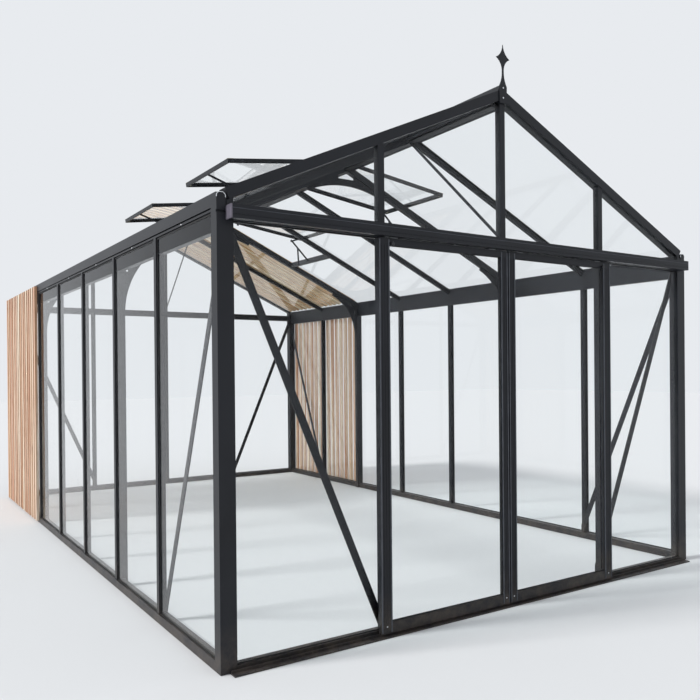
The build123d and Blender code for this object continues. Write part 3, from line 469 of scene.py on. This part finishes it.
def leaf_lines(side):
    """X of a leaf's meeting edge and of the inner and outer edge of its glass."""
    meeting = side * MEETING_GAP / 2
    return meeting, meeting + side * MEETING_STILE, meeting + side * (LEAF_WIDTH - OUTER_STILE)


def towards(start, end, distance):
    """Point on the line from start to end, at a distance from start."""
    start, end = Vector(start), Vector(end)
    return start + (end - start).normalized() * distance


# Small forms: the profiles are in shares of a form's own size

SEGMENTS = 12
SHARP_ANGLE = math.radians(40)
HEAD = ((1.0, 0.0), (1.0, 0.18), (0.86, 0.62), (0.6, 0.9), (0.42, 1.0), (0.34, 0.94), (0.3, 0.45))
WASHER_HEIGHT = 0.25
WASHER = ((1.5, 0.0), (1.5, WASHER_HEIGHT), (1.3, 1.3 * WASHER_HEIGHT))
LIP = ((-0.5, 0.0), (0.5, 0.0), (0.5, 0.45), (0.2, 1.0), (-0.2, 1.0), (-0.5, 0.45))
TUBE_NOSE = 0.3
PLATE_LEVELS = ((0.0, 0.0), (0.7, 0.0), (1.0, 0.06))


class Part:
    """One mesh that gathers small forms, then becomes a piece riding on a body."""

    def __init__(self):
        self.mesh = bmesh.new()

    def skin(self, rings):
        """Closed surface over rings of points with equal counts, first to last."""
        rings = [[self.mesh.verts.new(spot) for spot in ring] for ring in rings]
        for low, high in zip(rings, rings[1:]):
            for i in range(len(low)):
                after = (i + 1) % len(low)
                self.mesh.faces.new((low[i], low[after], high[after], high[i]))
        self.mesh.faces.new(list(reversed(rings[0])))
        self.mesh.faces.new(rings[-1])

    def lathe(self, base, normal, profile):
        """Turned form: profile gives radius and height along the normal, first to last."""
        base, normal = Vector(base), Vector(normal).normalized()
        side = normal.orthogonal().normalized()
        up = normal.cross(side)
        turns = [2 * math.pi * i / SEGMENTS for i in range(SEGMENTS)]
        spokes = [math.cos(turn) * side + math.sin(turn) * up for turn in turns]
        self.skin(
            [base + normal * height + radius * spoke for spoke in spokes] for radius, height in profile
        )

    def screw(self, base, normal, radius, height):
        """Domed head with a driver socket."""
        self.lathe(base, normal, [(r * radius, h * height) for r, h in HEAD])

    def bolt(self, base, normal, radius, height):
        """Domed head on a thin washer."""
        self.lathe(base, normal, [(r * radius, h * height) for r, h in WASHER])
        top = Vector(base) + Vector(normal).normalized() * WASHER_HEIGHT * height
        self.screw(top, normal, radius, height)

    def strip(self, start, end, across, out, width, height):
        """Long lip of trapezoid section, its foot centred on the line from start to end."""
        across, out = Vector(across).normalized(), Vector(out).normalized()
        self.skin(
            [Vector(spot) + a * width * across + h * height * out for a, h in LIP] for spot in (start, end)
        )

    def tube(self, points, radius):
        """Round bar through points, each stretch with a narrower nose."""
        nose = TUBE_NOSE * radius
        for start, end in zip(points, points[1:]):
            line = Vector(end) - Vector(start)
            self.lathe(start, line, [(radius - nose, 0), (radius, nose), (radius, line.length)])

    def plate(self, corners, thickness, out):
        """Flat plate with a chamfered rim: corners in order, thickness towards out."""
        out = Vector(out).normalized()
        corners = [Vector(corner) for corner in corners]
        middle = sum(corners, Vector()) / len(corners)
        self.skin(
            [corner + (middle - corner) * inset + out * thickness * height for corner in corners]
            for height, inset in PLATE_LEVELS
        )

    def done(self, name, material, body, smooth=True):
        """Makes the object, gives it its material and lets it ride."""
        bmesh.ops.recalc_face_normals(self.mesh, faces=self.mesh.faces)
        data = bpy.data.meshes.new(name)
        self.mesh.to_mesh(data)
        self.mesh.free()
        data.materials.append(material)
        piece = bpy.data.objects.new(name, data)
        bpy.context.scene.collection.objects.link(piece)
        if smooth:
            data.shade_smooth()
            data.set_sharp_from_angle(angle=SHARP_ANGLE)
        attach(piece, body)


# Fittings of the house


def wall_pane_edges(lines, post_inset):
    """Low and high seal line of each pane between bars, the outermost ones beside the posts."""
    beside_bar = BAR_CAP / 2 + SEAL_WIDTH / 2
    beside_post = post_inset + SEAL_WIDTH / 2
    last = len(lines) - 2
    for n in range(last + 1):
        yield (
            lines[n] + (beside_post if n == 0 else beside_bar),
            lines[n + 1] - (beside_post if n == last else beside_bar),
        )


def side_wall_seals(part, side):
    """Lips around the panes of one side wall."""
    face = side * (HALF_X - WALL_GLASS_INSET)
    out = (side, 0, 0)
    for low, high in wall_pane_edges(SIDE_LINES, POST_Y - SIDE_LINE_INSET):
        for y in (low, high):
            part.strip(
                (face, y, BASE_HEIGHT), (face, y, FLANGE_BOTTOM), ALONG_Y, out, SEAL_WIDTH, SEAL_HEIGHT,
            )
        for z, width in (
            (BASE_HEIGHT + FOOT_SEAL_WIDTH / 2, FOOT_SEAL_WIDTH),
            (FLANGE_BOTTOM - FLANGE_SEAL_WIDTH / 2, FLANGE_SEAL_WIDTH),
        ):
            part.strip((face, low, z), (face, high, z), UPWARDS, out, width, SEAL_HEIGHT)


def gable_wall_seals(part, face, out, foot, open_bays):
    """Lips around the panes of one gable wall, from its foot to the tie beam."""
    inset = FOOT_SEAL_WIDTH / 2
    for k, (low, high) in enumerate(wall_pane_edges(GABLE_LINES, POST_X - GABLE_LINE_INSET)):
        if k in open_bays:
            continue
        for x in (low, high):
            part.strip((x, face, foot), (x, face, TIE_BOTTOM), ALONG_X, out, SEAL_WIDTH, SEAL_HEIGHT)
        for z in (foot + inset, TIE_BOTTOM - inset):
            part.strip((low, face, z), (high, face, z), UPWARDS, out, FOOT_SEAL_WIDTH, SEAL_HEIGHT)


def wall_seals():
    """Rubber lips around all wall panes."""
    part = Part()
    for side in (-1, 1):
        side_wall_seals(part, side)
    gable_wall_seals(part, FRONT + WALL_GLASS_INSET, TO_FRONT, SILL_HEIGHT, DOORWAY_BAYS)
    gable_wall_seals(part, REAR - WALL_GLASS_INSET, TO_REAR, BASE_HEIGHT, ())
    part.done("wall_glazing_seals", RUBBER, "house", smooth=False)


def roof_seals():
    """Rubber lips beside the roof bars, from the ridge wing or a vent's sill to the gutter."""
    part = Part()
    offset = BAR_CAP / 2 + SEAL_WIDTH / 2
    end = (HALF_X - ROOF_SEAL_END_INSET) / math.cos(PITCH)
    for side in (-1, 1):
        out = (side * math.sin(PITCH), 0, math.cos(PITCH))
        for n in range(SIDE_BAYS):
            start = ROOF_SEAL_START_BELOW_VENT if n in VENT_BAYS else ROOF_SEAL_START
            for y in (SIDE_LINES[n] + offset, SIDE_LINES[n + 1] - offset):
                high, low = (on_slope(side, down, -ROOF_GLASS_SINK, y) for down in (start, end))
                part.strip(high, low, ALONG_Y, out, SEAL_WIDTH, SEAL_HEIGHT)
    part.done("roof_glazing_seals", RUBBER, "house", smooth=False)


def gutter_screws():
    """Bright screws under the gutter, at the middle of each bay clear of the slats."""
    part = Part()
    for side in (-1, 1):
        for n in range(SIDE_BAYS - SLATTED_BAYS):
            spot = (side * GUTTER_SCREW_X, SIDE_LINES[n] + BAY / 2, GUTTER_SCREW_Z)
            part.screw(spot, (side, 0, 0), *GUTTER_SCREW)
    part.done("gutter_screws", SCREW, "house")


def finial_screws():
    """Two screws through the plate that holds the finial."""
    part = Part()
    for z in FINIAL_SCREWS_Z:
        part.screw((0, FINIAL_FACE, z), TO_FRONT, *FINIAL_SCREW)
    part.done("finial_screws", SCREW, "house")


def frame_bolts():
    """Bolts at both ends of the wall braces and through the truss gussets."""
    part = Part()
    for side in (-1, 1):
        for gable, step, sill in ((FRONT, 1, SILL_HEIGHT), (REAR, -1, BASE_HEIGHT)):
            x = side * (HALF_X - BAR_DEPTH - BRACE_THICK)
            y = gable + step * (BAR_DEPTH + BRACE_THICK)
            side_brace = (
                (x, gable + step * POST_Y, EAVE_BOTTOM - BRACE_WIDTH),
                (x, gable + step * (SIDE_LINE_INSET + BAY), BASE_HEIGHT + BRACE_WIDTH),
            )
            gable_brace = (
                (side * (HALF_X - POST_X), y, TIE_BOTTOM - BRACE_WIDTH),
                (side * BAY, y, sill + BRACE_WIDTH),
            )
            for (top, foot), out in ((side_brace, (-side, 0, 0)), (gable_brace, (0, step, 0))):
                part.bolt(towards(top, foot, BRACE_WIDTH), out, *FRAME_BOLT)
                part.bolt(towards(foot, top, BRACE_WIDTH), out, *FRAME_BOLT)
    for n in TRUSS_LINES:
        for side in (-1, 1):
            for face in (-1, 1):
                y = SIDE_LINES[n] + face * GUSSET_THICK / 2
                for x, z in GUSSET_BOLTS:
                    part.bolt((side * x, y, z), (0, face, 0), *FRAME_BOLT)
    part.done("frame_bolts", BOLT, "house")


def vent_hinges():
    """Hinge rod in knuckles along the upper edge of each vent."""
    part = Part()
    for side, low, high in vents():
        step = (high - low) / HINGE_KNUCKLES
        for i in range(HINGE_KNUCKLES):
            ends = (low + i * step + HINGE_GAP / 2, low + (i + 1) * step - HINGE_GAP / 2)
            part.tube([vent_point(side, -HINGE_BACK, y, HINGE_HEIGHT) for y in ends], HINGE_RADIUS)
    part.done("vent_hinge_rods", COAT, "house")


def vent_lips():
    """Drip lip under both sides and the lower edge of each vent."""
    part = Part()
    edge = DRIP_LIP_WIDTH / 2
    for side, low, high in vents():
        run, up = vent_directions(side)
        for y in (low + edge, high - edge):
            start, end = (vent_point(side, down, y, 0) for down in (DRIP_LIP_START, VENT_LENGTH))
            part.strip(start, end, ALONG_Y, -up, DRIP_LIP_WIDTH, DRIP_LIP)
        start, end = (vent_point(side, VENT_LENGTH - edge, y, 0) for y in (low, high))
        part.strip(start, end, run, -up, DRIP_LIP_WIDTH, DRIP_LIP)
    part.done("vent_drip_lips", COAT, "house", smooth=False)


def vent_corners():
    """Pale L-shaped plates under and over both lower corners of each vent."""
    part = Part()
    back, inside = VENT_LENGTH - CORNER_LENGTH, VENT_LENGTH - CORNER_WIDTH
    for side, low, high in vents():
        up = vent_directions(side)[1]
        for y, turn in ((low, 1), (high, -1)):
            near, far = y + turn * CORNER_WIDTH, y + turn * CORNER_LENGTH
            outline = (
                (VENT_LENGTH, y), (VENT_LENGTH, far), (inside, far),
                (inside, near), (back, near), (back, y),
            )
            for height, out in ((0, -up), (VENT_THICK, up)):
                spots = [vent_point(side, down, across, height) for down, across in outline]
                part.plate(spots, CORNER_THICK, out)
    part.done("vent_corner_pieces", NYLON, "house", smooth=False)


def vent_seals():
    """Rubber lips on the glass of each vent, inside its frame."""
    part = Part()
    face = (VENT_THICK + PANE) / 2
    inset = SEAL_WIDTH / 2
    top, bottom = VENT_FRAME, VENT_LENGTH - VENT_FRAME
    for side, low, high in vents():
        run, up = vent_directions(side)
        low, high = low + VENT_FRAME, high - VENT_FRAME
        for y in (low + inset, high - inset):
            start, end = (vent_point(side, down, y, face) for down in (top, bottom))
            part.strip(start, end, ALONG_Y, up, SEAL_WIDTH, VENT_SEAL_HEIGHT)
        for down in (top + inset, bottom - inset):
            start, end = (vent_point(side, down, y, face) for y in (low, high))
            part.strip(start, end, run, up, SEAL_WIDTH, VENT_SEAL_HEIGHT)
    part.done("vent_glazing_seals", RUBBER, "house", smooth=False)


def track_line():
    """Paler strip in the upper groove of the door track's face: a painted highlight line."""
    part = Part()
    y = TRACK_FACE + TRACK_GROOVE
    start, end = (-TRACK_END, y, TRACK_LINE), (TRACK_END, y, TRACK_LINE)
    part.strip(start, end, UPWARDS, TO_FRONT, SEAL_WIDTH, TRACK_LINE_FILL * TRACK_GROOVE)
    part.done("track_face_line", PAINTED_HIGHLIGHT_COAT, "house", smooth=False)


def guide_screws():
    """Dark screws that hold the floor guide down."""
    part = Part()
    for side in (-1, 1):
        for x in GUIDE_SCREWS_X:
            part.screw((side * x, GUIDE_MIDDLE, GUIDE_TOP), UPWARDS, *GUIDE_SCREW)
    part.done("guide_screws", BOLT, "house")


def cap_painted_highlights():
    """Bright rounded rim over the top of each gutter end cap: a painted highlight in bright zinc."""
    part = Part()
    for side in (-1, 1):
        for y in RIM_PLANES:
            part.tube([(side * (HALF_X - inset), y, z) for inset, z in RIM], RIM_RADIUS)
    part.done("gutter_cap_painted_highlights", SCREW, "house")


# Fittings of one door leaf; side is -1 for the left hand and 1 for the right


def leaf_seals(side, hand):
    """Rubber lips around the leaf's glass."""
    part = Part()
    _, inner, outer = leaf_lines(side)
    low, high = LEAF_GLASS_BOTTOM, LEAF_GLASS_TOP
    face = LEAF_FACE + (LEAF_THICK - PANE) / 2
    inset = SEAL_WIDTH / 2
    for x in (inner + side * inset, outer - side * inset):
        part.strip((x, face, low), (x, face, high), ALONG_X, TO_FRONT, SEAL_WIDTH, LEAF_SEAL_HEIGHT)
    for z in (low + inset, high - inset):
        part.strip((inner, face, z), (outer, face, z), UPWARDS, TO_FRONT, SEAL_WIDTH, LEAF_SEAL_HEIGHT)
    part.done(hand + "_leaf_seals", RUBBER, hand + "_door", smooth=False)


def leaf_beads(side, hand):
    """Upright beads along both edges of both stiles, in a paler coat that paints a highlight on them."""
    part = Part()
    meeting, inner, outer = leaf_lines(side)
    edge = side * BEAD_WIDTH / 2
    low, high = LEAF_BOTTOM + BEAD_WIDTH, LEAF_TOP - BEAD_WIDTH
    for x in (meeting + edge, inner - edge, outer + edge, outer + side * OUTER_STILE - edge):
        part.strip((x, LEAF_FACE, low), (x, LEAF_FACE, high), ALONG_X, TO_FRONT, BEAD_WIDTH, BEAD_HEIGHT)
    part.done(hand + "_leaf_beads", PAINTED_HIGHLIGHT_COAT, hand + "_door", smooth=False)


def leaf_screws(side, hand):
    """Bright screw at the foot of each stile."""
    part = Part()
    _, inner, outer = leaf_lines(side)
    for x in (inner - side * MEETING_SCREW_INSET, outer + side * OUTER_SCREW_INSET):
        part.screw((x, LEAF_FACE, LEAF_SCREW_Z), TO_FRONT, *LEAF_SCREW)
    part.done(hand + "_leaf_screws", SCREW, hand + "_door")


def leaf_knob(side, hand):
    """Stop knob on the leaf's top rail."""
    part = Part()
    part.lathe((side * KNOB_X, LEAF_FACE, KNOB_Z), TO_FRONT, KNOB)
    part.done(hand + "_leaf_knob", BOLT, hand + "_door")


def leaf_brush(side, hand):
    """Row of tufts along the meeting edge, narrower at their tips."""
    part = Part()
    meeting = leaf_lines(side)[0]
    tip = meeting - side * BRUSH_REACH
    step = (LEAF_TOP - LEAF_BOTTOM - 2 * BRUSH_MARGIN) / BRUSH_TUFTS
    outline = (
        (meeting, BRUSH_ROOT[0]), (meeting, BRUSH_ROOT[1]), (tip, BRUSH_TIP[1]), (tip, BRUSH_TIP[0]),
    )
    for i in range(BRUSH_TUFTS):
        z = LEAF_BOTTOM + BRUSH_MARGIN + i * step
        part.plate([(x, LEAF_FACE + behind, z) for x, behind in outline], step * TUFT_SHARE, UPWARDS)
    part.done(hand + "_leaf_brush", PILE, hand + "_door", smooth=False)


wall_seals()
roof_seals()
gutter_screws()
finial_screws()
frame_bolts()
vent_hinges()
vent_lips()
vent_corners()
vent_seals()
for side, hand in ((-1, "left"), (1, "right")):
    leaf_seals(side, hand)
    leaf_beads(side, hand)
    leaf_screws(side, hand)
    leaf_knob(side, hand)
    leaf_brush(side, hand)
track_line()
guide_screws()
cap_painted_highlights()


# Studio

FLOOR_SIZE = 60.0
FLOOR_DROP = 0.001
FLOOR_ROUGHNESS = 0.9
SKY_STRENGTH = 0.75
SUN_STRENGTH = 2.2
SUN_SIZE = math.radians(12)
SUN_TURN = (math.radians(50), 0, math.radians(-104))


def studio_floor():
    """Plain pale floor under the greenhouse."""
    bpy.ops.mesh.primitive_plane_add(size=FLOOR_SIZE, location=(0, 0, -FLOOR_DROP))
    floor = bpy.context.object
    floor.name = "studio_floor"
    nodes = Nodes("studio_floor")
    nodes.set(Base_Color=FLOOR, Roughness=FLOOR_ROUGHNESS)
    floor.data.materials.append(nodes.material)


def studio_sky():
    """Soft light all round, and a pale backdrop for what the camera sees before any diffuse bounce."""
    world = bpy.data.worlds.new("studio")
    bpy.context.scene.world = world
    world.use_nodes = True
    tree = world.node_tree
    light = tree.nodes["Background"]
    light.inputs["Color"].default_value = SKY_LIGHT
    light.inputs["Strength"].default_value = SKY_STRENGTH
    backdrop = tree.nodes.new("ShaderNodeBackground")
    backdrop.inputs["Color"].default_value = BACKDROP
    rays = tree.nodes.new("ShaderNodeLightPath").outputs
    seen = math_node(tree, "ADD", rays["Is Camera Ray"], rays["Is Transmission Ray"], clamp=True)
    seen = math_node(tree, "ADD", seen, rays["Is Glossy Ray"], clamp=True)
    direct = math_node(tree, "LESS_THAN", rays["Diffuse Depth"], 0.5)
    mix = tree.nodes.new("ShaderNodeMixShader")
    tree.links.new(math_node(tree, "MULTIPLY", seen, direct), mix.inputs["Fac"])
    tree.links.new(light.outputs[0], mix.inputs[1])
    tree.links.new(backdrop.outputs[0], mix.inputs[2])
    tree.links.new(mix.outputs[0], tree.nodes["World Output"].inputs["Surface"])


def studio_sun():
    """Broad sun from the left."""
    sun = bpy.data.lights.new("key", "SUN")
    sun.energy = SUN_STRENGTH
    sun.angle = SUN_SIZE
    lamp = bpy.data.objects.new("key", sun)
    lamp.rotation_euler = SUN_TURN
    bpy.context.scene.collection.objects.link(lamp)


def camera():
    """The photo's viewpoint, with the solved turn, tilt and shift."""
    yaw, pitch, roll = (math.radians(a) for a in (CAMERA_YAW, CAMERA_PITCH, CAMERA_ROLL))
    ahead = Vector((-math.sin(yaw) * math.cos(pitch), math.cos(yaw) * math.cos(pitch), math.sin(pitch)))
    level = Vector((math.cos(yaw), math.sin(yaw), 0))
    upright = level.cross(ahead)
    right = level * math.cos(roll) + upright * math.sin(roll)
    up = upright * math.cos(roll) - level * math.sin(roll)
    data = bpy.data.cameras.new("photo_camera")
    data.lens = LENS
    data.sensor_width = SENSOR
    data.shift_x = SHIFT_X
    data.shift_y = SHIFT_Y
    data.clip_end = CLIP_END
    eye = bpy.data.objects.new("photo_camera", data)
    eye.matrix_world = Matrix.Translation(CAMERA_AT) @ Matrix((right, up, -ahead)).transposed().to_4x4()
    bpy.context.scene.collection.objects.link(eye)
    bpy.context.scene.camera = eye


studio_floor()
studio_sky()
studio_sun()
camera()
bpy.context.scene.view_settings.view_transform = "Standard"
